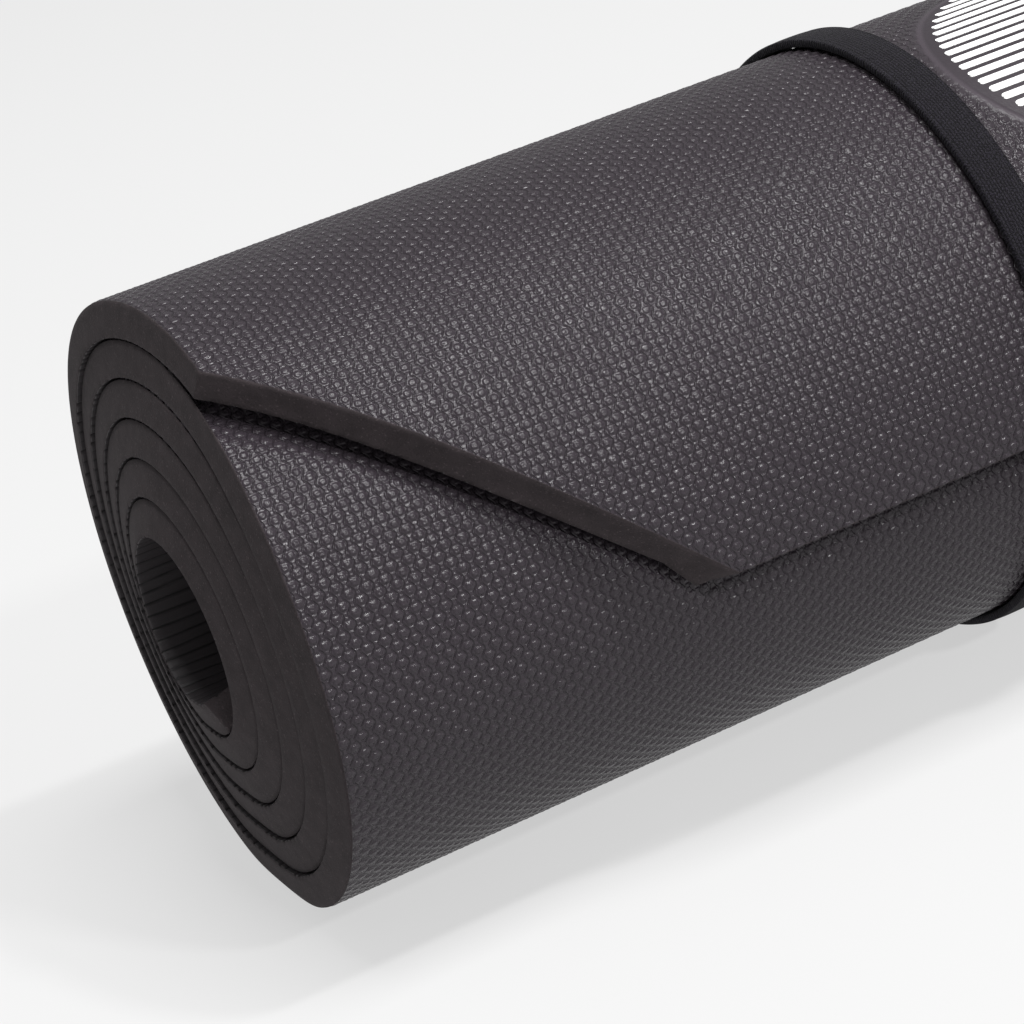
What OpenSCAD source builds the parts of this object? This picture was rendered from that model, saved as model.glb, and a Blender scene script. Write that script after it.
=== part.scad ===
// Exercise mat: one sheet of embossed foam with cut corners, rolled up and held
// by two loops of knitted elastic. Sizes are in millimetres.
// X runs along the roll, Y to the back and Z up. The roll lies on the undersides
// of its bands, which touch the ground at Z = 0.

/* [Sheet] */
// Length of the sheet laid flat
sheet_length = 1830; // [1500:10:2000]
// Width of the sheet, which is the length of the roll
sheet_width = 610; // [560:10:700]
// Thickness of the foam
sheet_thickness = 8.6; // [7:0.1:12]
// How far each corner cut runs across the width
corner_across = 94; // [40:1:120]
// How far each corner cut runs along the length
corner_along = 83; // [40:1:120]

/* [Roll] */
// Air between one turn and the next
turn_gap = 0.3; // [0.2:0.05:0.6]
// Radius of the sheet's middle at its inner edge
core_radius = 15.2; // [13:0.1:24]
// Where the outer edge lies, in degrees from straight up towards the back
edge_angle = -94; // [-110:1:-80]
// How far the weight presses the underside flat
sag = 1.2; // [0.8:0.1:2]

/* [Bands] */
// Distance of each band from the middle of the roll
band_place = 119; // [100:1:160]
// Width of the elastic
band_width = 10.5; // [8:0.5:25]
// Thickness of the elastic
band_thickness = 2.6; // [1.5:0.1:4]
// Room between the elastic and the foam
band_gap = 0.4; // [0.3:0.05:0.8]
// Length of the sewn overlap
overlap_length = 24; // [16:1:40]
// Where the middle of the overlap lies, in degrees from straight up towards the back
overlap_angle = 112; // [104:1:130]

/* [Printed motif] */
// Width of one printed line
line_width = 1.9; // [1:0.1:3]
// Distance from one line to the next
line_pitch = 3.3; // [2.5:0.1:6]
// Length of the longest line
motif_length = 216; // [120:2:216]
// Length of the shortest lines
motif_shortest = 96; // [60:2:110]
// Number of lines
line_count = 25; // [5:2:27]
// Where the middle of the motif lies, in degrees from straight up towards the back
motif_angle = -25; // [-35:1:-15]

/* [Hidden] */

foam_color = [0.20, 0.185, 0.195];
ink_color = [0.93, 0.93, 0.92];
elastic_color = [0.13, 0.12, 0.14];
thread_color = [0.08, 0.08, 0.09];

turn_pitch = sheet_thickness + turn_gap;
mid_radius = sqrt(core_radius * core_radius + turn_pitch * sheet_length / PI);
outer_radius = mid_radius + sheet_thickness / 2;

// Degrees wound inwards from the outer edge after a length of sheet, and back
function turned(length) =
    (mid_radius - sqrt(mid_radius * mid_radius - turn_pitch * length / PI)) * 360 / turn_pitch;
function unrolled(turn) =
    (mid_radius * mid_radius - pow(mid_radius - turn_pitch * turn / 360, 2)) * PI / turn_pitch;

// Outer radius of the spiral, and the same pressed flat where it lies on the ground
function radius_at(turn) = outer_radius - turn_pitch * turn / 360;
flat_height = radius_at(180 - edge_angle) - sag;
function pressed(radius, lift, angle) =
    cos(angle) < 0 ? min(radius + lift, (flat_height + lift) / -cos(angle)) : radius + lift;
function at(radius, angle) = [radius * sin(angle), radius * cos(angle)];
function on_roll(turn, lift) =
    at(pressed(radius_at(turn), lift, edge_angle + turn), edge_angle + turn);

// Half the sheet's width at a length from its outer edge, with all four corners cut
function half_width(length) =
    sheet_width / 2 - corner_across * max(0, 1 - length / corner_along,
                                          1 - (sheet_length - length) / corner_along);

// Equal steps from one turn angle up to the next, which is left out
function steps(low, high, largest) =
    let (count = ceil((high - low) / largest))
    [for (i = [0 : count - 1]) low + (high - low) * i / count];

// The sheet is built in the stretches between its corner cuts
sheet_step = 8;
outer_corner = turned(corner_along);
inner_corner = turned(sheet_length - corner_along);
all_turns = turned(sheet_length);
stations = concat(steps(0, outer_corner, sheet_step),
                  steps(outer_corner, inner_corner, sheet_step),
                  steps(inner_corner, all_turns, sheet_step), [all_turns]);

// The elastic leaves the step of the outer edge on a straight line to the turn below it
step_bridge = acos((outer_radius - turn_pitch) / outer_radius);
band_end = 360 - step_bridge;
band_step = 6;
function band_arc(low, high, lift) =
    [for (turn = concat(steps(low, high, band_step), [high])) on_roll(turn, lift)];

band_lift = band_gap + band_thickness;
overlap_turn = overlap_angle - edge_angle;
overlap_half = overlap_length / 2 / radius_at(overlap_turn) * 180 / PI;
overlap_lift = band_lift + band_thickness;

// The roll's axis is set so that the whole object is centred front to back
roll_height = flat_height + band_lift;
front_reach = radius_at(-90 - edge_angle) + band_lift;
back_reach = max(radius_at(90 - edge_angle) + band_lift,
                 on_roll(overlap_turn - overlap_half, overlap_lift)[0]);
roll_depth = (front_reach - back_reach) / 2;

stitch_gap = 0.04;
stitch_thickness = 0.5;
stitch_width = 1.4;
stitch_spacing = 15;

ink_gap = 0.03;
ink_thickness = 0.12;

module in_place() {
    translate([0, roll_depth, roll_height]) children();
}

// Draws a flat outline across the roll as a solid of one length along it
module along_roll(length) {
    rotate([90, 0, 90]) linear_extrude(length, center = true) children();
}

// Sets a thing flat on the roll's surface at an angle, a small height above it
module on_surface(angle, lift) {
    rotate([-angle, 0, 0]) translate([0, 0, radius_at(angle - edge_angle) + lift]) children();
}

// A bar with round ends, of a total length along X
module round_bar(length, width, thickness) {
    linear_extrude(thickness) {
        square([length - width, width], center = true);
        for (side = [-1, 1]) translate([side * (length - width) / 2, 0]) circle(d = width, $fn = 32);
    }
}

module mat_sheet() {
    points = [for (turn = stations)
        let (half = half_width(unrolled(turn)),
             outer = on_roll(turn, 0),
             inner = at(radius_at(turn) - sheet_thickness, edge_angle + turn))
        each [[-half, outer[0], outer[1]], [half, outer[0], outer[1]],
              [half, inner[0], inner[1]], [-half, inner[0], inner[1]]]];
    last = 4 * (len(stations) - 1);
    walls = [for (a = [0 : 4 : last - 4])
        let (b = a + 4)
        each [[a, b, b + 1, a + 1], [a + 2, b + 2, b + 3, a + 3],
              [a + 1, b + 1, b + 2], [a + 1, b + 2, a + 2],
              [a + 3, b + 3, b], [a + 3, b, a]]];
    color(foam_color) in_place()
        polyhedron(points, concat([[0, 1, 2, 3]], walls,
                                  [[last + 3, last + 2, last + 1, last]]), convexity = 12);
}

module motif_print() {
    middle = (line_count - 1) / 2;
    angle_step = line_pitch / radius_at(motif_angle - edge_angle) * 180 / PI;
    color(ink_color) in_place()
        for (i = [0 : line_count - 1]) {
            side = (i - middle) / (middle + 1);
            length = motif_shortest + (motif_length - motif_shortest) * sqrt(1 - side * side);
            on_surface(motif_angle + angle_step * (i - middle), ink_gap)
                round_bar(length, line_width, ink_thickness);
        }
}

module band(place) {
    first = overlap_turn - overlap_half;
    last = overlap_turn + overlap_half;
    color(elastic_color) in_place() translate([place, 0, 0]) along_roll(band_width)
        difference() {
            polygon(concat(band_arc(0, first, band_lift), band_arc(first, last, overlap_lift),
                           band_arc(last, band_end, band_lift)));
            polygon(band_arc(0, band_end, band_gap));
        }
}

module band_stitching(place) {
    spread = stitch_spacing / radius_at(overlap_turn) * 180 / PI / 2;
    color(thread_color) in_place() translate([place, 0, 0])
        for (side = [-1, 1])
            on_surface(overlap_angle + side * spread, overlap_lift + stitch_gap)
                round_bar(band_width - 2, stitch_width, stitch_thickness);
}

module band_left() { band(-band_place); }
module band_right() { band(band_place); }
module band_left_stitching() { band_stitching(-band_place); }
module band_right_stitching() { band_stitching(band_place); }

mat_sheet();
motif_print();
band_left();
band_left_stitching();
band_right();
band_right_stitching();
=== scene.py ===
import math

import bpy
import numpy as np
from mathutils import Matrix, Vector


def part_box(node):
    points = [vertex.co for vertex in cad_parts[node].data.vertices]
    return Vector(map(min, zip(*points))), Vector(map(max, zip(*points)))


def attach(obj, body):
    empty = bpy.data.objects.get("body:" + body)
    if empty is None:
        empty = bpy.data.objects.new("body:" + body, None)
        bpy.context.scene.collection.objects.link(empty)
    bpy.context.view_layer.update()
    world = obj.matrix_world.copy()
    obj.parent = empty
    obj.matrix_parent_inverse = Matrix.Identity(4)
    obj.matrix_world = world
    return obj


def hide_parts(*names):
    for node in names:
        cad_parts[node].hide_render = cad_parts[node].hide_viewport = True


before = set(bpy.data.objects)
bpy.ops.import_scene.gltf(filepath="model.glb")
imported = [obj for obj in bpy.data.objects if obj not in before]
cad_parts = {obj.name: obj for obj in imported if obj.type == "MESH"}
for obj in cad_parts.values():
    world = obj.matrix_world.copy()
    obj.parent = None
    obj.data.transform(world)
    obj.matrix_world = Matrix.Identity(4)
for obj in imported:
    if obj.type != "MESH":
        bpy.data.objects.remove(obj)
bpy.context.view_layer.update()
mm = 0.001

# The roll, as the maker winds it: lengths in metres, angles in degrees from
# straight up towards the back
roll = {
    "length": 1830 * mm,
    "width": 610 * mm,
    "thickness": 8.6 * mm,
    "turnGap": 0.3 * mm,
    "coreRadius": 15.2 * mm,
    "edgeAngle": -94.0,
    "cornerAcross": 94 * mm,
    "cornerAlong": 83 * mm,
    "sag": 1.2 * mm,
    "bandGap": 0.4 * mm,
    "bandThickness": 2.6 * mm,
    "podPitchX": 4.25 * mm,
    "podPitchS": 3.75 * mm,
    "ribPitch": 3.4 * mm,
}
turnPitch = roll["thickness"] + roll["turnGap"]
pitchPerRadian = turnPitch / math.tau
midRadius = math.sqrt(roll["coreRadius"] ** 2 + 2 * pitchPerRadian * roll["length"])
outerRadius = midRadius + roll["thickness"] / 2
edgeAngle = math.radians(roll["edgeAngle"])
bottomRadius = outerRadius - pitchPerRadian * (math.pi - edgeAngle)
flatHeight = bottomRadius - roll["sag"]
matLow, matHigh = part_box("mat_sheet")
rollHeight = flatHeight + roll["bandGap"] + roll["bandThickness"]
# the front of the box is the foam at turn zero, which sets the roll's place front to back
rollDepth = matLow[1] + outerRadius * math.cos(edgeAngle + math.pi / 2)


def radiusAt(turn):
    return outerRadius - pitchPerRadian * turn


def onRoll(turn, lift):
    angle = edgeAngle + turn
    radius = radiusAt(turn) + lift
    if math.cos(angle) < 0:
        radius = min(radius, (flatHeight + lift) / -math.cos(angle))
    return Vector((0, rollDepth + radius * math.sin(angle), rollHeight + radius * math.cos(angle)))


class Field:  # one number in a node tree, so that formulas read as formulas
    def __init__(self, tree, socket):
        self.tree, self.socket = tree, socket

    def op(self, operation, *others, first=None):
        node = self.tree.nodes.new("ShaderNodeMath")
        node.operation = operation
        values = (self, *others) if first is None else (first, self)
        for socket, value in zip(node.inputs, values):
            if isinstance(value, Field):
                self.tree.links.new(value.socket, socket)
            else:
                socket.default_value = value
        return Field(self.tree, node.outputs[0])

    def __add__(self, other):
        return self.op("ADD", other)

    def __sub__(self, other):
        return self.op("SUBTRACT", other)

    def __rsub__(self, other):
        return self.op("SUBTRACT", first=other)

    def __mul__(self, other):
        return self.op("MULTIPLY", other)

    def __truediv__(self, other):
        return self.op("DIVIDE", other)

    def __rtruediv__(self, other):
        return self.op("DIVIDE", first=other)

    def __neg__(self):
        return self * -1

    __radd__, __rmul__ = __add__, __mul__

    def cos(self):
        return self.op("COSINE")

    def sin(self):
        return self.op("SINE")

    def abs(self):
        return self.op("ABSOLUTE")

    def root(self):
        return self.op("SQRT")

    def most(self, other):
        return self.op("MAXIMUM", other)

    def ramp(self, low, high):  # 0 at low and 1 at high, eased at both ends
        node = self.tree.nodes.new("ShaderNodeMapRange")
        node.interpolation_type = "SMOOTHSTEP"
        self.tree.links.new(self.socket, node.inputs["Value"])
        for name, value in (("From Min", low), ("From Max", high)):
            if isinstance(value, Field):
                self.tree.links.new(value.socket, node.inputs[name])
            else:
                node.inputs[name].default_value = value
        return Field(self.tree, node.outputs["Result"])


def addNode(tree, kind, inputs=None, **settings):
    node = tree.nodes.new(kind)
    for name, value in settings.items():
        setattr(node, name, value)
    for name, value in (inputs or {}).items():
        socket = node.inputs[name]
        if isinstance(value, Field):
            tree.links.new(value.socket, socket)
        elif isinstance(value, bpy.types.NodeSocket):
            tree.links.new(value, socket)
        else:
            socket.default_value = value
    return node


def splitVector(tree, socket):
    node = addNode(tree, "ShaderNodeSeparateXYZ", {0: socket})
    return [Field(tree, out) for out in node.outputs]


def joinVector(tree, x, y, z):
    return addNode(tree, "ShaderNodeCombineXYZ", {0: x, 1: y, 2: z}).outputs[0]


def patchEdge(x, s, place, along, across):
    # under one inside the printed patch, over one outside it
    fromX, fromS = x / across, (s - place) / along
    return fromX * fromX * fromX * fromX + fromS * fromS


def ribWobble(x, s):
    # how far the creases between the ribs stray from straight
    return ((x * 157 + s * 310).sin() * 0.30 + (x * 61 - s * 97).sin() * 0.42) * mm


def newTree(name, sizes):
    # a geometry tree with one named input for each size, and those inputs as fields
    tree = bpy.data.node_groups.new(name, "GeometryNodeTree")
    tree.is_modifier = True
    tree.interface.new_socket("Geometry", in_out="INPUT", socket_type="NodeSocketGeometry")
    tree.interface.new_socket("Geometry", in_out="OUTPUT", socket_type="NodeSocketGeometry")
    for label in sizes.values():
        tree.interface.new_socket(label, in_out="INPUT", socket_type="NodeSocketFloat")
    groupIn = tree.nodes.new("NodeGroupInput")
    groupOut = tree.nodes.new("NodeGroupOutput")
    fields = {key: Field(tree, groupIn.outputs[label]) for key, label in sizes.items()}
    return tree, groupIn, groupOut, fields


def treeMesh(source, tree, sizes, values):
    # the tree as a modifier, its inputs set by identifier, then its result as a plain mesh
    modifier = source.modifiers.new(tree.name, "NODES")
    modifier.node_group = tree
    sockets = {item.name: item.identifier for item in tree.interface.items_tree
               if item.in_out == "INPUT"}
    for key, label in sizes.items():
        modifier[sockets[label]] = values[key]
    graph = bpy.context.evaluated_depsgraph_get()
    made = bpy.data.meshes.new_from_object(source.evaluated_get(graph), depsgraph=graph)
    source.modifiers.remove(modifier)
    return made


def newPiece(name, data):
    piece = bpy.data.objects.new(name, data)
    bpy.context.collection.objects.link(piece)
    return piece


def meshFrom(name, points, faces):
    # faces is a list of index arrays, each of one number of corners; points in no face are left out
    mesh = bpy.data.meshes.new(name)
    used, packed = np.unique(np.concatenate([f.ravel() for f in faces]), return_inverse=True)
    mesh.vertices.add(len(used))
    mesh.vertices.foreach_set("co", points[used].astype(np.float32).ravel())
    counts = np.concatenate([np.full(len(f), f.shape[1]) for f in faces])
    mesh.loops.add(len(packed))
    mesh.loops.foreach_set("vertex_index", packed.astype(np.int32).ravel())
    mesh.polygons.add(len(counts))
    starts = np.concatenate([[0], np.cumsum(counts)[:-1]])
    mesh.polygons.foreach_set("loop_start", starts.astype(np.int32))
    mesh.update(calc_edges=True)
    mesh.validate()
    return mesh, used


sheet = {
    "podHeight": 0.32 * mm,
    "podSink": 0.03 * mm,  # how far the pods' tops stay under the turn's full radius
    "creaseDepth": 0.55 * mm,
    "creaseWidth": 0.75 * mm,
    "podDome": (-0.65, 1.0),  # the part of the wave from pod to pod that a pod's dome takes up
    "patchFade": (0.93, 1.05),  # where the pods fade out, one being the edge of the smooth patch
    "lipReach": 6 * mm,  # the straight edge leans too, over this length of sheet
    "lipLean": 0.45,  # as a share of the flap's lean
    "dipFrom": (-10 * mm, -1 * mm),  # the dip's start under the flap and its end beyond it
    "dipTo": (1 * mm, 15 * mm),
    "pressedBlend": 0.05,  # how softly the round meets the flat underneath
    "fineLength": 515 * mm,  # the outer turn and what its cut corners show
    "coreLength": 240 * mm,  # the inner end, seen through the core
    "edgeReach": 12 * mm,
    # how the cut edge is rounded: how far in from the edge, and how deep
    "edge": [(0.28, 0), (0.09, 0.06), (0, 0.26), (0, 1.6), (0, 3.4), (0, 5.2),
             (0, 7.0), (0, 8.34), (0.09, 8.54), (0.28, 8.6)],
    "fromEdge": [0.0, 0.5, 1.3, 2.1, 2.8, 3.6, 4.4, 5.3, 6.4, 8.0, 10.5, 15.0, 25.0, 45.0],
    "acrossMiddle": 7,
}


def halfWidth(s):
    # half the sheet's width at a length from its outer edge, with its corners cut
    fromEnd = np.minimum(s, roll["length"] - s)
    return roll["width"] / 2 - roll["cornerAcross"] * np.clip(1 - fromEnd / roll["cornerAlong"], 0, 1)


def gridFaces(index, flip=False):
    a, b = index[:-1, :-1], index[:-1, 1:]
    c, d = index[1:, 1:], index[1:, :-1]
    order = (a, d, c, b) if flip else (a, b, c, d)
    quads = np.stack([corner.ravel() for corner in order], axis=1)
    same = quads == np.roll(quads, -1, axis=1)
    whole = quads[~same.any(axis=1)]
    thin = quads[same.sum(axis=1) == 1]
    keep = ~(thin == np.roll(thin, -1, axis=1))
    return whole, thin[keep].reshape(-1, 3)


def zipRows(low, lowX, high, highX):
    # triangles that join two rows of points that differ in number
    i = j = 0
    faces = []
    while i < len(low) - 1 or j < len(high) - 1:
        takeLow = j == len(high) - 1 or (i < len(low) - 1 and lowX[i + 1] <= highX[j + 1])
        if takeLow:
            faces.append((low[i], low[i + 1], high[j]))
            i += 1
        else:
            faces.append((low[i], high[j + 1], high[j]))
            j += 1
    faces = np.array(faces)
    flat = (faces[:, 0] == faces[:, 1]) | (faces[:, 1] == faces[:, 2]) | (faces[:, 0] == faces[:, 2])
    return faces[~flat]


def flatSheet():
    edgeIn = np.array([row[0] for row in sheet["edge"]]) * mm
    edgeDown = np.array([row[1] for row in sheet["edge"]]) * mm
    levels = len(edgeIn)
    # rows along the length: fine under the pods that show, finer again at the core
    podStep, ribStep = roll["podPitchS"] / 6, roll["ribPitch"] / 5
    coreStart = roll["length"] - sheet["coreLength"]
    fineRows = np.arange(2, round(sheet["fineLength"] / podStep) + 1) * podStep
    plainRows = np.arange(sheet["fineLength"] + ribStep, coreStart, ribStep)
    coreRows = np.arange(coreStart, roll["length"] - 1.2 * mm, roll["ribPitch"] / 8)
    rows = np.concatenate([[0], fineRows, plainRows, coreRows, [roll["length"]]])
    fineCount = len(fineRows) + 1
    half = halfWidth(rows)

    points, count = [], 0

    def store(x, s, w):
        nonlocal count
        x, s, w = np.broadcast_arrays(x, s, w)
        points.append(np.stack([x, s, w], axis=-1).reshape(-1, 3))
        index = count + np.arange(x.size).reshape(x.shape)
        count += x.size
        return index

    def rowPlace(level):  # the first and last rows follow the rounded edge
        place = rows.copy()
        place[0], place[-1] = edgeIn[level], roll["length"] - edgeIn[level]
        return place

    # outer face over the fine stretch, its columns on the pods and clamped to the cut corners
    columnStep = roll["podPitchX"] / 6
    reach = int(roll["width"] / 2 / columnStep)
    columns = np.arange(-reach, reach + 1) * columnStep
    limit = half[:fineCount, None] - edgeIn[0]
    clear = limit - 0.3 * columnStep
    x = np.where(columns[None] > clear, limit, np.where(columns[None] < -clear, -limit, columns[None]))
    fine = store(x, rowPlace(0)[:fineCount, None], 0.0)
    leftOut = (columns[None] < -clear).sum(axis=1)
    rightOut = (columns[None] > clear).sum(axis=1)
    places = np.arange(len(columns))[None]
    first = np.maximum(leftOut - 1, 0)[:, None]
    last = np.minimum(len(columns) - rightOut, len(columns) - 1)[:, None]
    fine = np.take_along_axis(fine, np.clip(places, first, last), axis=1)

    # plain columns everywhere else: close together near the edges, which show
    near = np.array(sheet["fromEdge"]) * mm
    middle = np.linspace(-1, 1, sheet["acrossMiddle"] + 2)[1:-1]

    def plainColumns(level, halves):
        side = halves[:, None] - edgeIn[level] - near[None]
        inner = side[:, -1:] * middle[None]
        return np.concatenate([-side, inner, side[:, ::-1]], axis=1)

    x = plainColumns(0, half[fineCount:])
    outer = store(x, rowPlace(0)[fineCount:, None], 0.0)
    joinX = x[0]
    x = plainColumns(levels - 1, half)
    inner = store(x, rowPlace(levels - 1)[:, None], -edgeDown[-1])

    # the cut edges down both sides
    sides = []
    for sign in (1, -1):
        strip = [store(sign * (half - edgeIn[k]), rowPlace(k), -edgeDown[k]) for k in range(1, levels - 1)]
        column = -1 if sign > 0 else 0
        top = np.concatenate([fine[:, column], outer[:, column]])
        sides.append(np.stack([top, *strip, inner[:, column]], axis=1))
    right, left = sides

    quads, triangles = [], []

    def add(pair):
        quads.append(pair[0])
        triangles.append(pair[1])

    add(gridFaces(fine))
    add(gridFaces(outer))
    triangles.append(zipRows(fine[-1], columns.clip(-limit[-1], limit[-1]), outer[0], joinX))
    add(gridFaces(inner, flip=True))
    add(gridFaces(right))
    add(gridFaces(left, flip=True))

    # the straight edge at the outer end, and then the one at the core
    cap = [fine[0]]
    for k in range(1, levels - 1):
        reachIn = half[0] - edgeIn[k]
        inside = store(np.clip(columns[1:-1], -reachIn, reachIn), edgeIn[k], -edgeDown[k])
        inside = inside[np.clip(np.arange(len(inside)), first[0, 0] - 1, last[0, 0] - 1)]
        inside[: first[0, 0]] = left[0, k]
        inside[last[0, 0] - 1:] = right[0, k]
        cap.append(np.concatenate([[left[0, k]], inside, [right[0, k]]]))
    add(gridFaces(np.array(cap), flip=True))
    lastX = np.clip(columns, -half[0], half[0])
    triangles.append(zipRows(cap[-1], lastX, inner[0], plainColumns(levels - 1, half[:1])[0])[:, ::-1])
    cap = [outer[-1]]
    for k in range(1, levels - 1):
        x = plainColumns(k, half[-1:])[0, 1:-1]
        inside = store(x, roll["length"] - edgeIn[k], -edgeDown[k])
        cap.append(np.concatenate([[left[-1, k]], inside, [right[-1, k]]]))
    cap.append(inner[-1])
    add(gridFaces(np.array(cap)))

    points = np.concatenate(points)
    mesh, used = meshFrom("foam_sheet", points, [np.concatenate(quads), np.concatenate(triangles)])
    # how near each point is to the cut edge, for the way that the edge leans
    place = points[used]
    toEdge = halfWidth(place[:, 1]) - np.abs(place[:, 0])
    lean = np.clip(1 - toEdge / sheet["edgeReach"], 0, 1)
    layer = mesh.attributes.new("edgeLean", "FLOAT", "POINT")
    layer.data.foreach_set("value", (lean * lean).astype(np.float32))
    return mesh


motif = {
    "lineWidth": 1.9 * mm,
    "linePitch": 3.3 * mm,
    "longest": 216 * mm,
    "shortest": 96 * mm,
    "count": 25,
    "angle": -25.0,
    "patchMargin": 5 * mm,
    "filmLift": 0.03 * mm,
    "filmThickness": 0.05 * mm,
    "ink": (0.86, 0.86, 0.85),
}
motifTurn = math.radians(motif["angle"]) - edgeAngle
motifPlace = midRadius * motifTurn - pitchPerRadian * motifTurn**2 / 2
motifHalf = (motif["count"] - 1) / 2 * motif["linePitch"] * midRadius / outerRadius

windingSizes = {
    "mid": "Middle radius at the outer edge",
    "outer": "Outer radius",
    "perRadian": "Radius lost per radian",
    "start": "Angle of the outer edge",
    "flat": "Flattening ratio underneath",
    "depth": "Roll axis depth",
    "height": "Roll axis height",
    "thickness": "Sheet thickness",
    "podX": "Pod pitch across",
    "podS": "Pod pitch along",
    "podHeight": "Pod height",
    "podSink": "Pod sink",
    "rib": "Rib pitch",
    "creaseDepth": "Crease depth",
    "creaseWidth": "Crease width",
    "patchPlace": "Smooth patch place",
    "patchAlong": "Smooth patch half length",
    "patchAcross": "Smooth patch half width",
    "lean": "Lean of the cut edge",
    "telescope": "Telescoping towards the core",
    "corner": "Corner cut across",
    "cornerLong": "Corner cut along",
    "half": "Half the sheet width",
    "flapLean": "Extra lean at the flap tip",
    "flapOpen": "Opening under the flap",
    "dip": "Dip under the flap edge",
    "setBack": "Set back of the outer turn",
}
windingValues = {
    "mid": midRadius,
    "outer": outerRadius,
    "perRadian": pitchPerRadian,
    "start": edgeAngle,
    "flat": flatHeight / bottomRadius,
    "depth": rollDepth,
    "height": rollHeight,
    "thickness": roll["thickness"],
    "podX": roll["podPitchX"],
    "podS": roll["podPitchS"],
    "podHeight": sheet["podHeight"],
    "podSink": sheet["podSink"],
    "rib": roll["ribPitch"],
    "creaseDepth": sheet["creaseDepth"],
    "creaseWidth": sheet["creaseWidth"],
    "patchPlace": motifPlace,
    "patchAlong": motifHalf + motif["patchMargin"],
    "patchAcross": motif["longest"] / 2 + motif["patchMargin"],
    "lean": 1.6 * mm,
    "telescope": 1.2 * mm,
    "corner": roll["cornerAcross"],
    "cornerLong": roll["cornerAlong"],
    "half": roll["width"] / 2,
    "flapLean": 6.2 * mm,
    "flapOpen": 1.3 * mm,
    "dip": 2.6 * mm,
    "setBack": 2.8 * mm,
}


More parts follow.
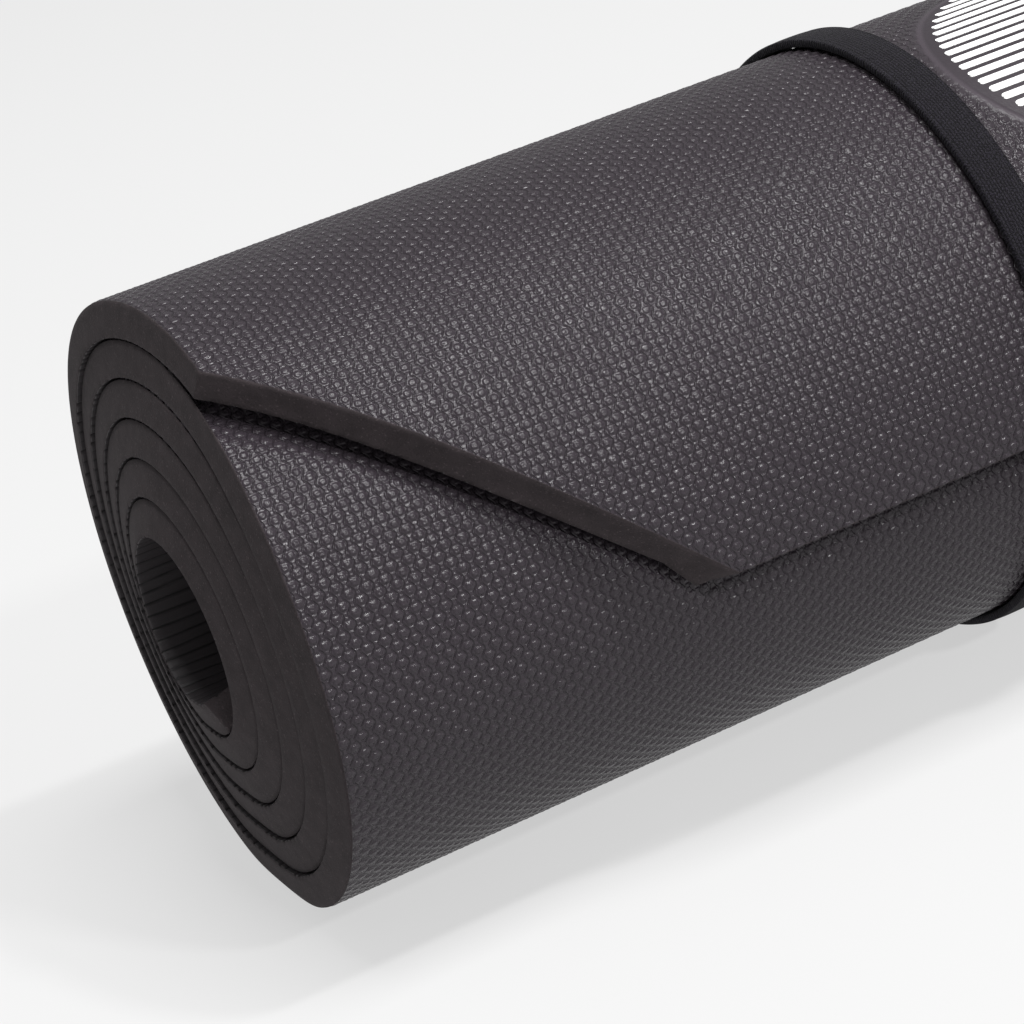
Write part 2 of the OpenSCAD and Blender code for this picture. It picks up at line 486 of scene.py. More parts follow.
def windingTree(materials):
    tree, groupIn, groupOut, size = newTree("Wind Sheet", windingSizes)
    flat = tree.nodes.new("GeometryNodeInputPosition").outputs[0]
    stored = addNode(tree, "GeometryNodeStoreNamedAttribute",
                     {"Geometry": groupIn.outputs["Geometry"], "Name": "flat", "Value": flat},
                     data_type="FLOAT_VECTOR", domain="POINT")
    # everything after this reads the flat place, even once the points have moved
    kept = addNode(tree, "GeometryNodeInputNamedAttribute", {"Name": "flat"}, data_type="FLOAT_VECTOR")
    x, s, w = splitVector(tree, kept.outputs["Attribute"])
    lean = Field(tree, addNode(tree, "GeometryNodeInputNamedAttribute", {"Name": "edgeLean"},
                               data_type="FLOAT").outputs["Attribute"])

    # pods on the outer face, none on the printed patch
    onFace = w.ramp(-0.25 * mm, -0.02 * mm)
    pods = (x * math.tau / size["podX"]).cos() * (s * math.tau / size["podS"]).cos()
    edge = patchEdge(x, s, size["patchPlace"], size["patchAlong"], size["patchAcross"])
    patch = 1 - edge.ramp(*sheet["patchFade"])
    bead = pods.ramp(*sheet["podDome"])
    relief = (bead - 1) * size["podHeight"] * (1 - patch) - size["podSink"]
    outward = relief * onFace

    # creases between the ribs of the inner face
    deep = -w / size["thickness"]
    onBack = deep.ramp(0.975, 0.998)
    along = ((s + ribWobble(x, s)) / size["rib"]).op("FRACT")
    fromCrease = (along - 0.5).abs() * size["rib"] / (size["creaseWidth"] * 0.5)
    crease = 1 - fromCrease.ramp(0.0, 1.0)
    outward = outward + crease * size["creaseDepth"] * onBack
    # the flap's underside opens a little along its cut
    flapArea = 1 - s.ramp(0.8 * size["cornerLong"], 1.3 * size["cornerLong"])
    outward = outward + lean * deep.ramp(0.55, 1.0) * flapArea * size["flapOpen"]

    # the winding: the square of the middle radius falls evenly along the sheet
    lip = (1 - s / sheet["lipReach"]).most(0) * size["flapLean"] * sheet["lipLean"] * deep
    wound = size["mid"] * size["mid"] - 2 * size["perRadian"] * (s - lip)
    turn = (size["mid"] - wound.root()) / size["perRadian"]
    angle = turn + size["start"]
    # the turn beneath the flap gives way, and the dip follows the flap's outline
    below = turn - math.tau
    above = below * (size["mid"] * 2 - size["perRadian"] * below) * 0.5
    flapHalf = size["half"] - size["corner"] * (1 - above / size["cornerLong"]).most(0)
    beyond = (x.abs() - flapHalf).most(-above)
    near = beyond.ramp(*sheet["dipFrom"]) * (1 - beyond.ramp(*sheet["dipTo"]))
    inTurn = turn.ramp(math.tau - 0.30, math.tau - 0.12) * (1 - turn.ramp(math.tau + 1.1, math.tau + 1.4))
    outward = outward - near * inTurn * onFace * size["dip"]
    radius = size["outer"] - size["perRadian"] * turn + w + outward
    pressed = (size["flat"] / (-angle.cos()).most(0.05)).op("SMOOTH_MIN", 1.0, sheet["pressedBlend"])
    radius = radius * pressed
    # the cut edge leans out where the foam is squeezed on the inside of the bend, more so near the core
    tighter = 0.8 + 0.016 / radius.most(0.015)
    tip = (1 - s / size["cornerLong"]).most(0)
    tip = tip * (1.9 - tip * 0.9)
    sway = x.op("SIGN") * lean * deep * (size["lean"] * tighter + size["flapLean"] * tip)
    slide = (turn * 0.04 + turn * turn * 0.0028) * size["telescope"]
    # the end stands back a little where the flap begins, less so in each turn below it
    faced = (angle + math.radians(20)).cos().most(0)
    slide = slide - faced.op("POWER", 6.0) * (1 - turn / 18).most(0) * size["setBack"]
    place = joinVector(tree, x + sway - slide, size["depth"] + radius * angle.sin(),
                       size["height"] + radius * angle.cos())
    moved = addNode(tree, "GeometryNodeSetPosition",
                    {"Geometry": stored.outputs[0], "Position": place})
    smooth = addNode(tree, "GeometryNodeSetShadeSmooth", {"Geometry": moved.outputs[0]})

    # skin outside, bare foam on the cuts, skin with ribs inside
    real = addNode(tree, "GeometryNodeRealizeInstances", {"Geometry": smooth.outputs[0]})
    flow = addNode(tree, "GeometryNodeSetMaterial",
                   {"Geometry": real.outputs[0], "Material": materials["skin"]}).outputs[0]
    cut = w.op("LESS_THAN", -0.05 * mm) * w.op("GREATER_THAN", -8.55 * mm)
    back = w.op("LESS_THAN", -8.55 * mm)
    for mask, key in ((cut, "cut"), (back, "ribbed")):
        flow = addNode(tree, "GeometryNodeSetMaterial",
                       {"Geometry": flow, "Selection": mask, "Material": materials[key]}).outputs[0]
    tree.links.new(flow, groupOut.inputs[0])
    return tree


def windUp(name, mesh, tree):
    piece = newPiece(name, mesh)
    piece.data = treeMesh(piece, tree, windingSizes, windingValues)
    bpy.data.meshes.remove(mesh)
    piece.data.name = name
    return piece


def flatMotif():
    # each line is a strip with round ends, as one grid
    around = np.linspace(0, math.pi, 9)
    points, faces, count = [], [], 0
    middle = (motif["count"] - 1) / 2
    step = motif["linePitch"] * midRadius / outerRadius
    for i in range(motif["count"]):
        side = (i - middle) / (middle + 1)
        reach = (motif["shortest"] + (motif["longest"] - motif["shortest"]) * math.sqrt(1 - side**2)) / 2
        r = motif["lineWidth"] / 2
        span = np.linspace(-(reach - r), reach - r, 49)
        endIn = r - r * np.sin(np.linspace(0.12, math.pi / 2, 5))[:-1]
        x = np.concatenate([-(reach - endIn), span, (reach - endIn)[::-1]])
        halfLine = np.concatenate([r * np.sqrt(np.clip(1 - ((r - endIn) / r) ** 2, 0.02, 1)),
                                   np.full(len(span), r)])
        halfLine = np.concatenate([halfLine, halfLine[:4][::-1]])
        halfLine = np.maximum(halfLine, 0.12 * mm)
        across = np.linspace(-1, 1, 5)
        top = np.stack([np.repeat(x[:, None], 5, 1),
                        motifPlace + step * (i - middle) + across[None] * halfLine[:, None],
                        np.full((len(x), 5), motif["filmLift"] + motif["filmThickness"])], axis=-1)
        low = top.copy()
        low[..., 2] = motif["filmLift"] - sheet["podSink"]
        size = len(x) * 5
        a = count + np.arange(size).reshape(len(x), 5)
        b = a + size
        points += [top.reshape(-1, 3), low.reshape(-1, 3)]
        count += 2 * size
        rim = np.concatenate([a[:, 0], a[-1, 1:], a[::-1, -1][1:], a[0, ::-1][1:-1]])
        rimLow = rim + size
        ring = np.stack([np.append(rim, rim[0]), np.append(rimLow, rimLow[0])])
        faces += [gridFaces(a, flip=True)[0], gridFaces(b)[0], gridFaces(ring)[0]]
    return meshFrom("motif_lines", np.concatenate(points), [np.concatenate(faces)])[0]


def grainGroup():
    # fine foam grain: a height and a tone, shared by the foam and the elastic
    group = bpy.data.node_groups.new("Fine Grain", "ShaderNodeTree")
    for name, kind in (("Vector", "NodeSocketVector"), ("Scale", "NodeSocketFloat"),
                       ("Depth", "NodeSocketFloat"), ("Tone", "NodeSocketFloat")):
        group.interface.new_socket(name, in_out="INPUT", socket_type=kind)
    group.interface.new_socket("Height", in_out="OUTPUT", socket_type="NodeSocketFloat")
    group.interface.new_socket("Shade", in_out="OUTPUT", socket_type="NodeSocketFloat")
    groupIn, groupOut = group.nodes.new("NodeGroupInput"), group.nodes.new("NodeGroupOutput")
    fineNoise = addNode(group, "ShaderNodeTexNoise",
                        {"Vector": groupIn.outputs["Vector"], "Scale": groupIn.outputs["Scale"],
                         "Detail": 3.0, "Roughness": 0.6})
    broad = addNode(group, "ShaderNodeTexNoise",
                    {"Vector": groupIn.outputs["Vector"], "Scale": 22.0, "Detail": 2.0})
    fine, wide = Field(group, fineNoise.outputs["Fac"]), Field(group, broad.outputs["Fac"])
    height = fine * Field(group, groupIn.outputs["Depth"])
    shade = 1 + (fine - 0.5) * Field(group, groupIn.outputs["Tone"]) * 1.4 + (wide - 0.5) * Field(
        group, groupIn.outputs["Tone"])
    group.links.new(height.socket, groupOut.inputs["Height"])
    group.links.new(shade.socket, groupOut.inputs["Shade"])
    return group


grain = grainGroup()


def newMaterial(name, colour, **settings):
    material = bpy.data.materials.new(name)
    material.use_nodes = True
    tree = material.node_tree
    surface = tree.nodes["Principled BSDF"]
    surface.inputs["Base Color"].default_value = (*colour, 1)
    material.diffuse_color = (*colour, 1)
    for label, value in settings.items():
        surface.inputs[label].default_value = value
    return material, tree, surface


def tinted(tree, surface, colour, shade):
    mix = addNode(tree, "ShaderNodeMix", {"Factor": 1.0}, data_type="RGBA", blend_type="MULTIPLY")
    mix.inputs[6].default_value = (*colour, 1)
    tree.links.new(shade.socket, mix.inputs[7])
    tree.links.new(mix.outputs[2], surface.inputs["Base Color"])


def raised(tree, surface, height):  # height in millimetres
    bump = addNode(tree, "ShaderNodeBump", {"Height": height, "Distance": mm, "Strength": 1.0})
    tree.links.new(bump.outputs[0], surface.inputs["Normal"])


def grainOn(tree, vector, scale, depth, tone):
    node = addNode(tree, "ShaderNodeGroup", node_tree=grain)
    tree.links.new(vector, node.inputs["Vector"])
    for label, value in (("Scale", scale), ("Depth", depth), ("Tone", tone)):
        node.inputs[label].default_value = value
    return Field(tree, node.outputs["Height"]), Field(tree, node.outputs["Shade"])


foam = {
    "skin": (0.0285, 0.0232, 0.0282),
    "cut": (0.0288, 0.0228, 0.0246),
    "ribbed": (0.026, 0.0215, 0.024),
    # the skin's relief, in millimetres
    "grooveSway": 0.46,
    "grooveWidth": 0.40,
    "grooveDepth": 0.26,
    "crown": 0.19,
    "dimple": 0.04,  # in the middle of each pod
    "rim": 0.16,  # round the smooth patch
    "crumple": 0.32,
    "crumpleOffPatch": 0.26,  # how much of the crumple the smooth patch leaves out
    # roughness of the skin, what the patch adds and how much the crumple changes it
    "roughness": 0.25,
    "patchRoughness": 0.20,
    "roughnessSpread": 0.25,
}


def skinMaterial():
    material, tree, surface = newMaterial("embossed_foam", foam["skin"])
    surface.inputs["Specular IOR Level"].default_value = 0.23
    flat = addNode(tree, "ShaderNodeAttribute", attribute_name="flat").outputs["Vector"]
    x, s, _ = splitVector(tree, flat)
    edge = patchEdge(x, s, *(windingValues[key] for key in ("patchPlace", "patchAlong", "patchAcross")))
    patch = 1 - edge.ramp(*sheet["patchFade"])
    # the raised rim round the smooth patch is also painted half as light again below, a painted highlight
    rim = edge.ramp(0.90, 0.94) * (1 - edge.ramp(0.95, 0.99))
    # wavy grooves run between the columns of pods and bow round each pod
    pitchX, pitchS = roll["podPitchX"] / mm, roll["podPitchS"] / mm
    x, s = x / mm, s / mm
    column = (x / (pitchX / 2) - 0.5).op("ROUND")
    parity = (column * math.pi).cos()
    centre = (column + 0.5) * (pitchX / 2) + parity * foam["grooveSway"] * (s * math.tau / pitchS).cos()
    groove = (x - centre).abs().ramp(0.0, foam["grooveWidth"])
    bead = ((x * math.tau / pitchX).cos() * (s * math.tau / pitchS).cos()).abs()
    crown = bead.ramp(0.05, 0.75) * foam["crown"] - bead.ramp(0.86, 1.0) * foam["dimple"]
    height, shade = grainOn(tree, flat, 1900.0, 0.05, 0.16)
    crumple = addNode(tree, "ShaderNodeTexNoise", {"Vector": flat, "Scale": 900.0, "Detail": 2.0})
    crumpled = Field(tree, crumple.outputs["Fac"])
    relief = (groove - 1) * foam["grooveDepth"] * (0.4 + 0.9 * crumpled) + crown
    creased = crumpled * (foam["crumple"] - patch * foam["crumpleOffPatch"])
    raised(tree, surface, relief * (1 - patch) + rim * foam["rim"] + height + creased)
    # the colour is painted darker down the wavy grooves, painted shade in the creases, but not on the smooth
    # patch
    tinted(tree, surface, foam["skin"], shade * (0.72 + 0.28 * groove.most(patch)) * (1 + rim * 0.5))
    rough = foam["roughness"] + patch * foam["patchRoughness"] + (crumpled - 0.5) * foam["roughnessSpread"]
    tree.links.new(rough.socket, surface.inputs["Roughness"])
    return material


def cutMaterial():
    material, tree, surface = newMaterial("cut_foam", foam["cut"], Roughness=0.92)
    surface.inputs["Specular IOR Level"].default_value = 0.25
    place = addNode(tree, "ShaderNodeTexCoord").outputs["Object"]
    height, shade = grainOn(tree, place, 2600.0, 0.10, 0.34)
    # the middle of each foam cell is sunk and painted darker, painted shade in the pits
    cells = addNode(tree, "ShaderNodeTexVoronoi", {"Vector": place, "Scale": 1500.0})
    pits = Field(tree, cells.outputs["Distance"]).ramp(0.0, 0.5)
    # bright specks painted into the cut foam's colour, painted glints
    sparkNoise = addNode(tree, "ShaderNodeTexNoise", {"Vector": place, "Scale": 1700.0, "Detail": 2.0})
    spark = Field(tree, sparkNoise.outputs["Fac"]).ramp(0.60, 0.74)
    mottle = addNode(tree, "ShaderNodeTexNoise", {"Vector": place, "Scale": 260.0, "Detail": 3.0})
    mottled = Field(tree, mottle.outputs["Fac"]) - 0.5
    raised(tree, surface, height + pits * 0.05)
    tinted(tree, surface, foam["cut"], shade * (0.84 + 0.16 * pits) + spark * 1.1 + mottled * 0.9)
    return material


def ribbedMaterial():
    material, tree, surface = newMaterial("ribbed_foam", foam["ribbed"], Roughness=0.55)
    flat = addNode(tree, "ShaderNodeAttribute", attribute_name="flat").outputs["Vector"]
    x, s, _ = splitVector(tree, flat)
    fromCrease = (((s + ribWobble(x, s)) / roll["ribPitch"]).op("FRACT") - 0.5).abs()
    # the creases between the ribs are painted dark, painted shade in the creases
    line = fromCrease.ramp(0.03, 0.12)
    height, shade = grainOn(tree, flat, 1500.0, 0.03, 0.18)
    raised(tree, surface, height)
    tinted(tree, surface, foam["ribbed"], shade * (0.25 + 0.75 * line))
    return material


def inkMaterial():
    material, tree, surface = newMaterial("white_ink", motif["ink"], Roughness=0.5)
    flat = addNode(tree, "ShaderNodeAttribute", attribute_name="flat").outputs["Vector"]
    height, shade = grainOn(tree, flat, 1400.0, 0.03, 0.05)
    raised(tree, surface, height)
    tinted(tree, surface, motif["ink"], shade)
    return material


elastic = {
    "colour": (0.0052, 0.0044, 0.0068),
    "thread": (0.014, 0.013, 0.017),
    "stitch": 0.80,  # one knitted stitch across and along the band, in millimetres
    "course": 0.95,
    "slant": 1.1,  # how steeply a stitch's two arms meet
    "uneven": 1.6,  # how far the rows stray, in stitches
    # height of a loop and of its raised fuzz, in millimetres
    "loopHeight": 0.24,
    "fuzzHeight": 0.16,
}


def elasticMaterial():
    material, tree, surface = newMaterial("knitted_elastic", elastic["colour"], Roughness=0.85)
    surface.inputs["Sheen Weight"].default_value = 0.05
    surface.inputs["Sheen Roughness"].default_value = 0.4
    surface.inputs["Specular IOR Level"].default_value = 0.14
    knit = addNode(tree, "ShaderNodeAttribute", attribute_name="knit").outputs["Vector"]
    across, along, lift = splitVector(tree, knit)
    across, along = across / mm / elastic["stitch"], along / mm / elastic["course"]
    place = joinVector(tree, across, along, lift * 2.0)
    uneven = addNode(tree, "ShaderNodeTexNoise", {"Vector": place, "Scale": 0.9, "Detail": 2.0})
    sway = (Field(tree, uneven.outputs["Fac"]) - 0.5) * elastic["uneven"]
    # columns of v-shaped stitches, each one half a stitch on from the last, and all a little uneven
    aside = across + sway * 0.4
    column = aside.op("FLOOR")
    wale = (aside.op("FRACT") - 0.5).abs()
    course = ((along + wale * elastic["slant"] + sway + column * 0.5).op("FRACT") - 0.5).abs()
    loop = wale.ramp(0.5, 0.12) * course.ramp(0.5, 0.1)
    # raised fuzz in the bump, and bright specks painted into the colour, painted glints
    fuzzAndGlintNoise = addNode(tree, "ShaderNodeTexNoise", {"Vector": place, "Scale": 2.6, "Detail": 2.0})
    fuzzAndGlint = Field(tree, fuzzAndGlintNoise.outputs["Fac"]).ramp(0.48, 0.70)
    height, shade = grainOn(tree, knit, 2400.0, 0.04, 0.4)
    raised(tree, surface, loop * elastic["loopHeight"] + fuzzAndGlint * elastic["fuzzHeight"] + height)
    # the colour is painted light on each raised loop, a painted highlight, and dark between the loops,
    # painted shade
    tinted(tree, surface, elastic["colour"], shade * (0.20 + loop * 2.0 + fuzzAndGlint * 2.3))
    return material


def threadMaterial():
    material, tree, surface = newMaterial("sewing_thread", elastic["thread"], Roughness=0.6)
    surface.inputs["Sheen Weight"].default_value = 0.05
    place = addNode(tree, "ShaderNodeTexCoord").outputs["Object"]
    height, shade = grainOn(tree, place, 5200.0, 0.08, 0.5)
    raised(tree, surface, height)
    tinted(tree, surface, elastic["thread"], shade)
    return material


def middleOf(node):
    low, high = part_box(node)
    return (low[0] + high[0]) / 2


band = {
    "places": {side: middleOf("band_" + side) for side in ("left", "right")},
    "width": 10.5 * mm,
    "thickness": 2.7 * mm,  # it lies on the pods, closer than its hard stand-in
    "clear": 0.09 * mm,  # enough for it to slide over the printed lines
    "overlapAngle": 112.0,
    "overlapLength": 24 * mm,
    "rise": 7 * mm,  # the stretch over which the top layer climbs onto the lower one
    "ringStep": 0.9 * mm,
    "bead": 0.28 * mm,
    "wander": [(23.0, 0.35 * mm), (61.0, 0.12 * mm)],  # radians a metre, and how far aside
}


def bandPath():
    # the middle of the elastic, once round the roll and over its own start
    overlapTurn = math.radians(band["overlapAngle"]) - edgeAngle
    radius = radiusAt(overlapTurn)
    halfLap = band["overlapLength"] / 2 / radius
    rise = band["rise"] / radius
    bridge = math.acos((outerRadius - turnPitch) / outerRadius)
    bandEnd = math.tau - bridge
    low = band["clear"] + band["thickness"] / 2
    start, end = overlapTurn - halfLap, overlapTurn + halfLap + math.tau
    points = []
    count = 420
    for i in range(count + 1):
        turn = start + (end - start) * i / count
        climb = np.clip((turn - (start + math.tau - rise)) / rise, 0, 1)
        lift = low + roll["bandThickness"] * climb * climb * (3 - 2 * climb)
        around = turn % math.tau
        if around > bandEnd:
            share = (around - bandEnd) / bridge
            points.append(onRoll(bandEnd, lift).lerp(onRoll(0, lift), share))
        else:
            points.append(onRoll(around, lift))
    return points


bandSizes = {
    "place": "Place along the roll",
    "width": "Band width",
    "thickness": "Band thickness",
    "ringStep": "Ring step",
    "bead": "Edge bead",
}


def bandTree(material):
    tree, groupIn, groupOut, size = newTree("Knit Band", bandSizes)
    even = addNode(tree, "GeometryNodeResampleCurve",
                   {"Curve": groupIn.outputs["Geometry"], "Length": size["ringStep"]}, mode="LENGTH")
    facing = addNode(tree, "GeometryNodeSetCurveNormal", {"Curve": even.outputs[0]}, mode="FREE")
    facing.inputs["Normal"].default_value = (1, 0, 0)
    length = addNode(tree, "GeometryNodeSplineParameter").outputs["Length"]
    marked = addNode(tree, "GeometryNodeStoreNamedAttribute",
                     {"Geometry": facing.outputs[0], "Name": "alongBand", "Value": length},
                     data_type="FLOAT", domain="POINT")
    # the section: a flat oval with a rolled bead on each selvedge
    ring = addNode(tree, "GeometryNodeCurvePrimitiveCircle", {"Resolution": 40, "Radius": 1.0}, mode="RADIUS")
    turn = Field(tree, addNode(tree, "GeometryNodeSplineParameter").outputs["Factor"]) * math.tau
    cosine, sine = turn.cos(), turn.sin()
    across = cosine.op("SIGN") * cosine.abs().op("POWER", 0.72) * size["width"] * 0.5
    bead = cosine.abs().ramp(0.80, 0.93) * (1 - cosine.abs().ramp(0.97, 1.0)) * size["bead"]
    # rounder on top than underneath, where it lies on the foam
    roundness = 0.42 + 0.34 * sine.op("GREATER_THAN", 0.0)
    up = sine.op("SIGN") * (sine.abs().op("POWER", roundness) * size["thickness"] * 0.5 * 0.97 + bead)
    section = addNode(tree, "GeometryNodeSetPosition",
                      {"Geometry": ring.outputs["Curve"], "Position": joinVector(tree, across, up, 0.0)})
    acrossMarked = addNode(tree, "GeometryNodeStoreNamedAttribute",
                           {"Geometry": section.outputs[0], "Name": "acrossBand", "Value": turn},
                           data_type="FLOAT", domain="POINT")
    tube = addNode(tree, "GeometryNodeCurveToMesh",
                   {"Curve": marked.outputs[0], "Profile Curve": acrossMarked.outputs[0], "Fill Caps": True})
    alongBand = Field(tree, addNode(tree, "GeometryNodeInputNamedAttribute", {"Name": "alongBand"},
                                    data_type="FLOAT").outputs["Attribute"])
    acrossBand = Field(tree, addNode(tree, "GeometryNodeInputNamedAttribute", {"Name": "acrossBand"},
                                     data_type="FLOAT").outputs["Attribute"])
    place = tree.nodes.new("GeometryNodeInputPosition").outputs[0]
    bandX = splitVector(tree, place)[0]
    knit = joinVector(tree, bandX, alongBand, acrossBand)
    knitted = addNode(tree, "GeometryNodeStoreNamedAttribute",
                      {"Geometry": tube.outputs[0], "Name": "knit", "Value": knit},
                      data_type="FLOAT_VECTOR", domain="POINT")
    # slack in the elastic: it wanders sideways by a hair
    long, short = [(alongBand * turns).sin() * reach for turns, reach in band["wander"]]
    wander = long + short
    placed = addNode(tree, "GeometryNodeSetPosition",
                     {"Geometry": knitted.outputs[0],
                      "Offset": joinVector(tree, size["place"] + wander, 0.0, 0.0)})
    smooth = addNode(tree, "GeometryNodeSetShadeSmooth", {"Geometry": placed.outputs[0]})
    real = addNode(tree, "GeometryNodeRealizeInstances", {"Geometry": smooth.outputs[0]})
    done = addNode(tree, "GeometryNodeSetMaterial", {"Geometry": real.outputs[0], "Material": material})
    tree.links.new(done.outputs[0], groupOut.inputs[0])
    return tree


def makeBand(side, tree):
    name = "elastic_band_" + side
    curve = bpy.data.curves.new("band_path_" + side, "CURVE")
    curve.dimensions = "3D"
    spline = curve.splines.new("POLY")
    path = bandPath()
    spline.points.add(len(path) - 1)
    for point, place in zip(spline.points, path):
        point.co = (*place, 1)
    source = newPiece("band_source_" + side, curve)
    mesh = treeMesh(source, tree, bandSizes, {**band, "place": band["places"][side]})
    bpy.data.objects.remove(source)
    bpy.data.curves.remove(curve)
    mesh.name = name
    return newPiece(name, mesh)


tack = {
    "spacing": 15 * mm,
    "length": 8.2 * mm,
    "width": 1.7 * mm,
    "stitches": 15,
    "thread": 0.36 * mm,
    "slant": 0.16,  # radians, to one side and then the other
    # each stitch is an arc, in widths of the tack
    "arcRadius": 0.62,
    "arcStart": 0.62,
    "arcDrop": 0.40,
    "sunk": 0.10 * mm,  # how far the stitches are pulled into the elastic
}
tackSizes = {
    "length": "Tack length",
    "width": "Tack width",
    "thread": "Thread thickness",
}


def tackTree(material):
    # slanted stitches side by side, each a short rounded thread
    tree, groupIn, groupOut, size = newTree("Bar Tack", tackSizes)
    line = addNode(tree, "GeometryNodeMeshLine", {"Count": tack["stitches"]}, mode="END_POINTS")
    half = size["length"] * 0.5
    tree.links.new(joinVector(tree, -half, 0.0, 0.0), line.inputs["Start Location"])
    tree.links.new(joinVector(tree, half, 0.0, 0.0), line.inputs["Offset"])
    index = Field(tree, tree.nodes.new("GeometryNodeInputIndex").outputs[0])
    slant = (index * math.pi).cos() * tack["slant"]
    start = tack["arcStart"]
    arc = addNode(tree, "GeometryNodeCurveArc",
                  {"Resolution": 7, "Radius": tack["arcRadius"], "Start Angle": start,
                   "Sweep Angle": math.pi - 2 * start}, mode="RADIUS")
    ring = addNode(tree, "GeometryNodeCurvePrimitiveCircle",
                   {"Resolution": 6, "Radius": size["thread"] * 0.5}, mode="RADIUS")
    # the arc lies in XY, so it is stood up across the tack and flattened
    bent = splitVector(tree, tree.nodes.new("GeometryNodeInputPosition").outputs[0])
    upright = joinVector(tree, 0.0, bent[0] * size["width"], (bent[1] - tack["arcDrop"]) * size["width"])
    stood = addNode(tree, "GeometryNodeSetPosition",
                    {"Geometry": arc.outputs["Curve"], "Position": upright})
    stitch = addNode(tree, "GeometryNodeCurveToMesh",
                     {"Curve": stood.outputs[0], "Profile Curve": ring.outputs["Curve"], "Fill Caps": True})
    spread = addNode(tree, "GeometryNodeInstanceOnPoints",
                     {"Points": line.outputs[0], "Instance": stitch.outputs[0],
                      "Rotation": joinVector(tree, 0.0, 0.0, slant)})
    real = addNode(tree, "GeometryNodeRealizeInstances", {"Geometry": spread.outputs[0]})
    smooth = addNode(tree, "GeometryNodeSetShadeSmooth", {"Geometry": real.outputs[0]})
    done = addNode(tree, "GeometryNodeSetMaterial", {"Geometry": smooth.outputs[0], "Material": material})
    tree.links.new(done.outputs[0], groupOut.inputs[0])
    return tree


def makeTacks(side, tree):
    name = "bar_tacks_" + side
    seed = bpy.data.meshes.new("tack_seed")
    source = newPiece("tack_source", seed)
    bar = treeMesh(source, tree, tackSizes, tack)
    overlapTurn = math.radians(band["overlapAngle"]) - edgeAngle
    top = band["clear"] + band["thickness"] + roll["bandThickness"] - tack["sunk"]
    points = []
    faces = {}  # gathered by their number of corners
    for sign in (-1, 1):
        turn = overlapTurn + sign * tack["spacing"] / 2 / radiusAt(overlapTurn)
        stand = (Matrix.Translation((band["places"][side], *onRoll(turn, top)[1:]))
                 @ Matrix.Rotation(-(edgeAngle + turn), 4, "X"))
        first = len(points)
        points += [tuple(stand @ vertex.co) for vertex in bar.vertices]
        for polygon in bar.polygons:
            faces.setdefault(len(polygon.vertices), []).append([first + k for k in polygon.vertices])
    mesh = meshFrom(name, np.array(points), [np.array(rows) for rows in faces.values()])[0]
    mesh.shade_smooth()
    mesh.materials.append(thread)
    bpy.data.objects.remove(source)
    for spent in (seed, bar):
        bpy.data.meshes.remove(spent)
    return newPiece(name, mesh)


skins = {"skin": skinMaterial(), "cut": cutMaterial(), "ribbed": ribbedMaterial()}
ink, knit, thread = inkMaterial(), elasticMaterial(), threadMaterial()

winding = windingTree(skins)
foamSheet = windUp("foam_sheet", flatSheet(), winding)
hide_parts("mat_sheet")
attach(foamSheet, "roll")
print("foam sheet:", len(foamSheet.data.vertices), "points")

motifLines = windUp("motif_lines", flatMotif(), winding)
motifLines.data.materials.clear()
motifLines.data.materials.append(ink)
motifLines.data.polygons.foreach_set("material_index", np.zeros(len(motifLines.data.polygons), np.int32))
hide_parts("motif_print")
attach(motifLines, "roll")
print("printed lines:", motif["count"])

knitTree = bandTree(knit)
barTree = tackTree(thread)
for side in band["places"]:
    loop = makeBand(side, knitTree)
    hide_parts("band_" + side)
    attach(loop, side + "_band")
    tacks = makeTacks(side, barTree)
    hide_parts("band_" + side + "_stitching")
    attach(tacks, side + "_band")
    print(side, "band and its bar tacks")

studio = {
    "floorSize": 40.0,
    "floorColour": (0.20, 0.20, 0.20),
    "floorGlow": 0.575,  # the table is lit from underneath as well
    "world": 0.42,
    "backdrop": 0.90,  # what the camera sees beyond the floor
    "lamps": {
        "overhead": {"from": (0.02, -0.24, 0.97), "away": 3.2, "size": (1.3, 1.0), "power": 88.0},
        "key": {"from": (0.28, -0.34, 0.87), "away": 3.4, "size": (0.24, 0.24), "power": 50.0},
        "front": {"from": (0.24, -0.78, 0.55), "away": 3.0, "size": (0.24, 0.2), "power": 42.0},
    },
}


def makeFloor():
    size = studio["floorSize"] / 2
    mesh = bpy.data.meshes.new("floor")
    corners = [(-size, -size, 0), (size, -size, 0), (size, size, 0), (-size, size, 0)]
    mesh.from_pydata(corners, [], [(0, 1, 2, 3)])
    floor = newPiece("floor", mesh)
    material, _, surface = newMaterial("floor_paper", studio["floorColour"], Roughness=0.9)
    surface.inputs["Specular IOR Level"].default_value = 0.0
    surface.inputs["Emission Color"].default_value = (1, 1, 1, 1)
    surface.inputs["Emission Strength"].default_value = studio["floorGlow"]
    mesh.materials.append(material)


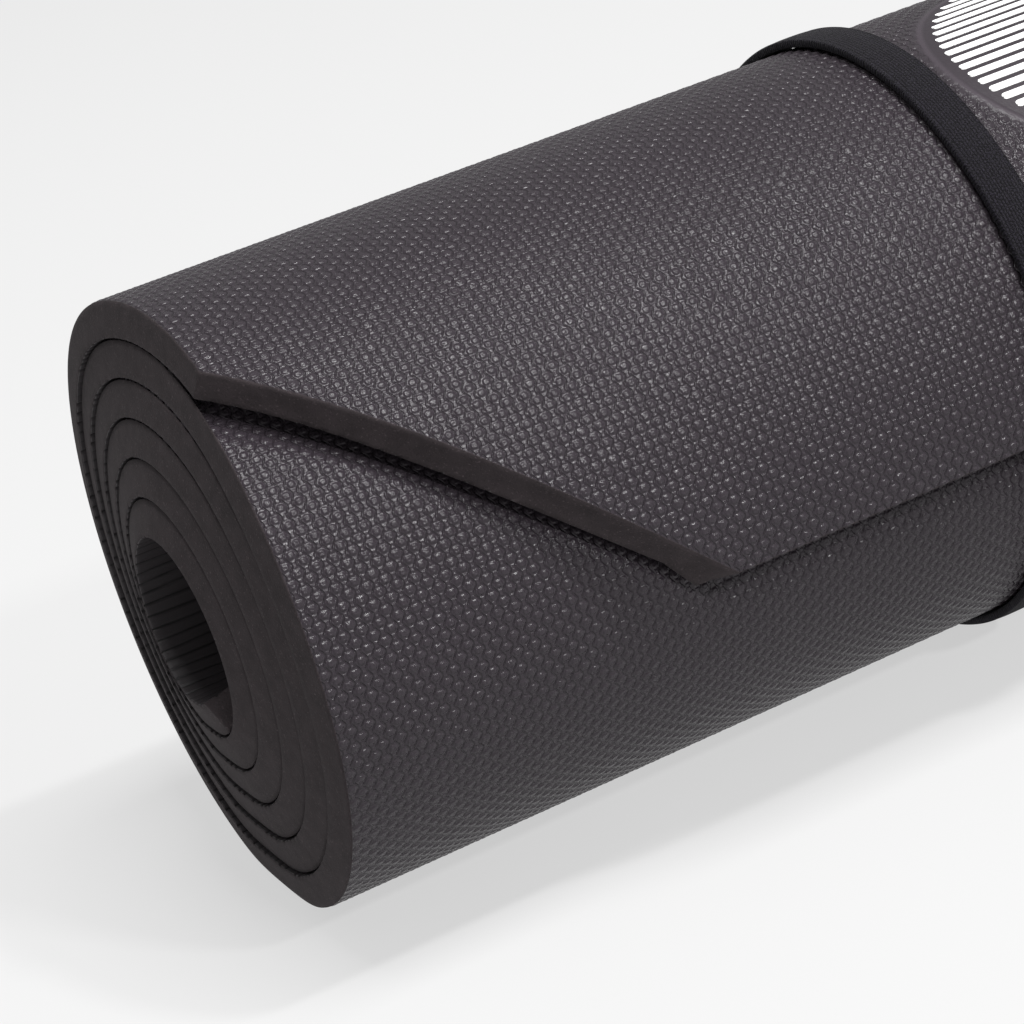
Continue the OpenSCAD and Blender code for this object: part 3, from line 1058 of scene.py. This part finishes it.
def addArea(name, place, target, size, power):
    light = bpy.data.lights.new(name, "AREA")
    light.shape, light.size, light.size_y = "RECTANGLE", size[0], size[1]
    light.energy = power
    lamp = newPiece(name, light)
    lamp.location = place
    lamp.rotation_euler = (Vector(target) - place).to_track_quat("-Z", "Y").to_euler()


makeFloor()
world = bpy.data.worlds.new("studio")
world.use_nodes = True
sky = world.node_tree.nodes["Background"]
sky.inputs[0].default_value = (1, 1, 1, 1)
seen = addNode(world.node_tree, "ShaderNodeLightPath").outputs["Is Camera Ray"]
glow = Field(world.node_tree, seen) * (studio["backdrop"] - studio["world"]) + studio["world"]
world.node_tree.links.new(glow.socket, sky.inputs[1])
bpy.context.scene.world = world
for name, lamp in studio["lamps"].items():
    direction = Vector(lamp["from"]).normalized()
    addArea(name, direction * lamp["away"], (0, 0, 0.05), lamp["size"], lamp["power"])
print("floor and", len(studio["lamps"]), "lamps")

# the camera stands low in front of the left end, leaning to one side
camera = {
    "fromEnd": Vector((-181.6, -686.4, 0)) * mm,  # from the middle of the end face, before the lean
    "yaw": 0.3604,
    "pitch": -0.0053,
    "roll": -0.3869,
    "lean": math.radians(22.0),
    "lens": 110.43,
}


def makeCamera():
    data = bpy.data.cameras.new("camera")
    data.sensor_width, data.lens = 36.0, camera["lens"]
    data.clip_end = 50.0
    data.dof.use_dof = False
    view = Vector((math.sin(camera["yaw"]) * math.cos(camera["pitch"]),
                   math.cos(camera["yaw"]) * math.cos(camera["pitch"]), math.sin(camera["pitch"])))
    across = view.cross(Vector((0, 0, 1))).normalized()
    up = across.cross(view)
    turn = camera["roll"]
    right = math.cos(turn) * across + math.sin(turn) * up
    above = -math.sin(turn) * across + math.cos(turn) * up
    axes = Matrix((right, above, -view)).transposed().to_4x4()
    lean = Matrix.Rotation(-camera["lean"], 4, "X")
    endFace = Matrix.Translation((matLow[0], rollDepth, rollHeight))
    body = newPiece("camera", data)
    body.matrix_world = endFace @ lean @ Matrix.Translation(camera["fromEnd"]) @ axes
    bpy.context.scene.camera = body


makeCamera()
print("camera")
bpy.context.scene.view_settings.view_transform = "Standard"
